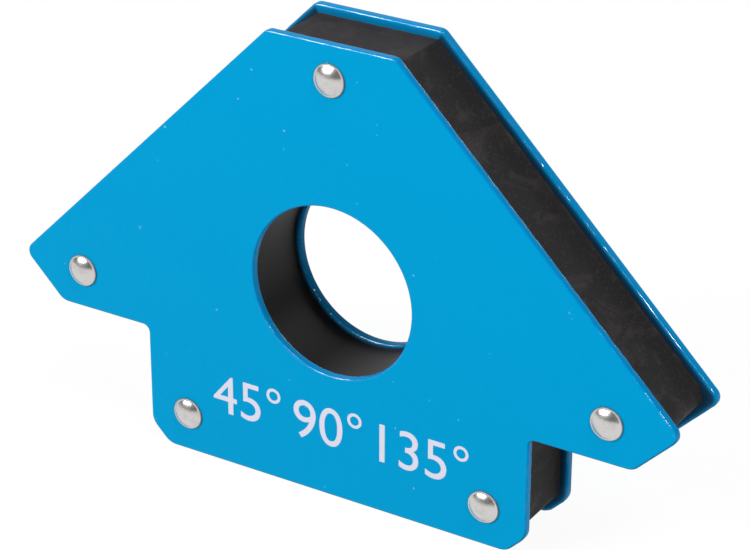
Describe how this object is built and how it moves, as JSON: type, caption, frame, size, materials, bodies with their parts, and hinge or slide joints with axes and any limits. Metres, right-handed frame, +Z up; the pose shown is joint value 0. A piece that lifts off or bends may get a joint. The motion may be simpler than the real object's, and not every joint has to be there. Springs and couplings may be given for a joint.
{
  "type": "welding magnet holder",
  "caption": "Arrow-shaped magnetic welding square: two painted steel pole plates riveted over a recessed black core, with a round centre hole and 45, 90 and 135 degree edges.",
  "frame": {"origin": "on the middle plane of the thickness, under the centre of the base edge, at the bottom of the part", "axes": "+X across the wings, +Y through the thickness from the printed front plate to the rear plate, +Z up from the base edge to the apex"},
  "size_m": [0.1186, 0.0174, 0.077],
  "materials": {
    "paint": "satin",
    "core": "matte",
    "ferrite": "matte",
    "rivet": "polished"
  },
  "bodies": {
    "root": {"plate_front": "paint", "plate_rear": "paint", "core": "core", "magnet_flank_left": "ferrite", "magnet_flank_right": "ferrite", "magnet_base": "ferrite", "magnet_stem_left": "ferrite", "magnet_stem_right": "ferrite", "rivet_apex": "rivet", "rivet_wing_left": "rivet", "rivet_wing_right": "rivet", "rivet_base_left": "rivet", "rivet_base_right": "rivet"}
  },
  "joints": []
}
